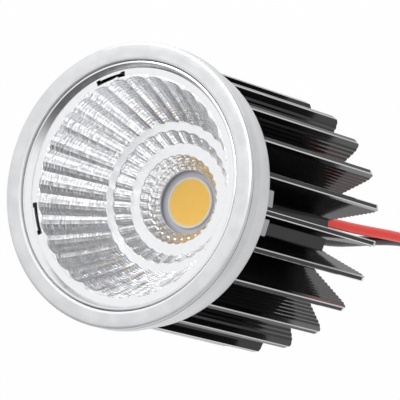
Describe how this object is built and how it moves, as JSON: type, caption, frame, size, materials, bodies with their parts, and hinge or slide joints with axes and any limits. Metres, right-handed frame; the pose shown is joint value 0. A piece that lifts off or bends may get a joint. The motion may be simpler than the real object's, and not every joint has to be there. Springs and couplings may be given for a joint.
{
  "type": "led light module",
  "caption": "Round spotlight module: chip LED in a fluted reflector, silver front ring, black finned heat sink and two rear leads.",
  "frame": {"origin": "on the axis at the front face of the front ring, where the ring's locating land begins", "axes": "+Z along the axis, the way the light leaves; the leads hang down along -Z; +X through the fin that one pair of ring legs straddles"},
  "size_m": [0.05, 0.05, 0.162],
  "materials": {
    "ring": "satin turned aluminium",
    "reflector": "vacuum-metallised plastic, bright with soft facets",
    "heat_sink": "black anodised extrusion",
    "thermal_pad": "soft grey pad",
    "board": "matt white-grey board",
    "dam": "cast silicone",
    "phosphor": "yellow phosphor in silicone",
    "contacts": "gold flash",
    "solder": "bright solder",
    "screws": "zinc-plated steel",
    "bush": "matt black rubber",
    "red_insulation": "smooth soft insulation",
    "black_insulation": "smooth soft insulation",
    "tinned_wire": "tinned strands"
  },
  "bodies": {
    "root": {"front_ring": "ring", "reflector": "reflector", "heat_sink": "heat_sink", "thermal_pad": "thermal_pad", "chip_board": "board", "phosphor_dam": "dam", "phosphor_disc": "phosphor", "contact_plus": "contacts", "contact_minus": "contacts", "solder_plus": "solder", "solder_minus": "solder", "board_screw_left": "screws", "board_screw_right": "screws", "lead_bush": "bush", "red_lead_inner": "red_insulation", "black_lead_inner": "black_insulation", "red_tail": "tinned_wire", "black_tail": "tinned_wire", "red_lead": "red_insulation", "black_lead": "black_insulation", "red_lead_end": "tinned_wire", "black_lead_end": "tinned_wire"}
  },
  "joints": []
}
